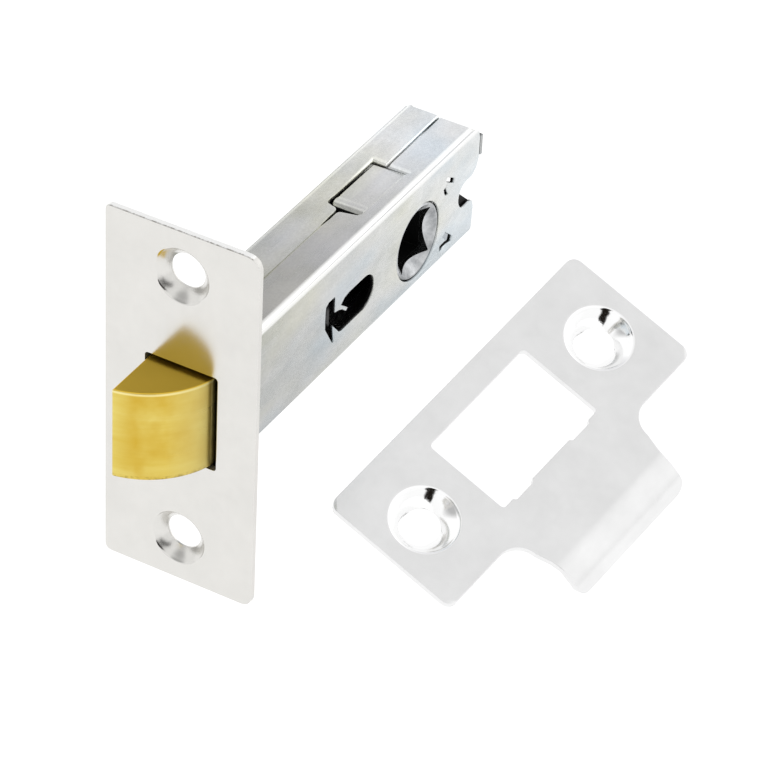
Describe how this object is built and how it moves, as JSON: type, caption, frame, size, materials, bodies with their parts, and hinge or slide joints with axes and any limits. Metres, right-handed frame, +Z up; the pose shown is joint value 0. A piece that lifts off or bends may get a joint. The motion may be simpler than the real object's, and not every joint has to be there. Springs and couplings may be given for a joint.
{
  "type": "tubular mortice latch",
  "caption": "Tubular mortice latch with a sprung brass bolt worked by a square spindle hole, and its loose strike plate with a rolled lip.",
  "frame": {"origin": "centre of the faceplate's front face, which lies flush with the door's edge", "axes": "+Y runs into the door along the case, +Z runs up the faceplate, X is the door's thickness"},
  "size_m": [0.054, 0.113, 0.0903],
  "materials": {
    "satin_nickel": "satin nickel plate, fine even grain",
    "zinc_plate": "mottled bright zinc plate on folded sheet",
    "satin_steel": "bright satin-polished plate",
    "brass": "yellow brass with fine lengthwise draw lines",
    "inner_steel": "plain pressed steel",
    "spring_steel": "oiled drawn wire and turned steel",
    "cast_zinc": "machined zinc casting"
  },
  "bodies": {
    "case": {"faceplate": "satin_nickel", "case_shell": "zinc_plate", "spring_abutment": "inner_steel", "return_spring": "spring_steel"},
    "follower": {"follower": "cast_zinc"},
    "retractor": {"retractor": "inner_steel", "pull_pin": "spring_steel", "bolt_spring": "spring_steel"},
    "bolt": {"latch_bolt": "brass", "bolt_rod": "spring_steel", "rod_washer": "zinc_plate", "rod_clip": "spring_steel"},
    "strike": {"strike_plate": "satin_steel"}
  },
  "joints": [
    {"name": "spindle_turn", "type": "hinge", "parent": "case", "child": "follower", "pos_m": [0, 0.057, -0.00175], "axis": [-1, 0, 0], "range_deg": [0, 56]},
    {"name": "retract", "type": "slide", "parent": "case", "child": "retractor", "axis": [0, 1, 0], "range_m": [0, 0.0096], "stiffness_N_per_m": 250, "springref_m": -0.004, "deforming": ["return_spring"]},
    {"name": "bolt_push", "type": "slide", "parent": "retractor", "child": "bolt", "axis": [0, 1, 0], "range_m": [0, 0.0096], "stiffness_N_per_m": 120, "springref_m": -0.005, "deforming": ["bolt_spring"]},
    {"name": "strike_away", "type": "slide", "parent": "case", "child": "strike", "axis": [1, 0, 0], "range_m": [0, 0.06]}
  ],
  "couplings": [
    {"joint": "spindle_turn", "follows": "retract", "rad_per_m": 101.81}
  ]
}
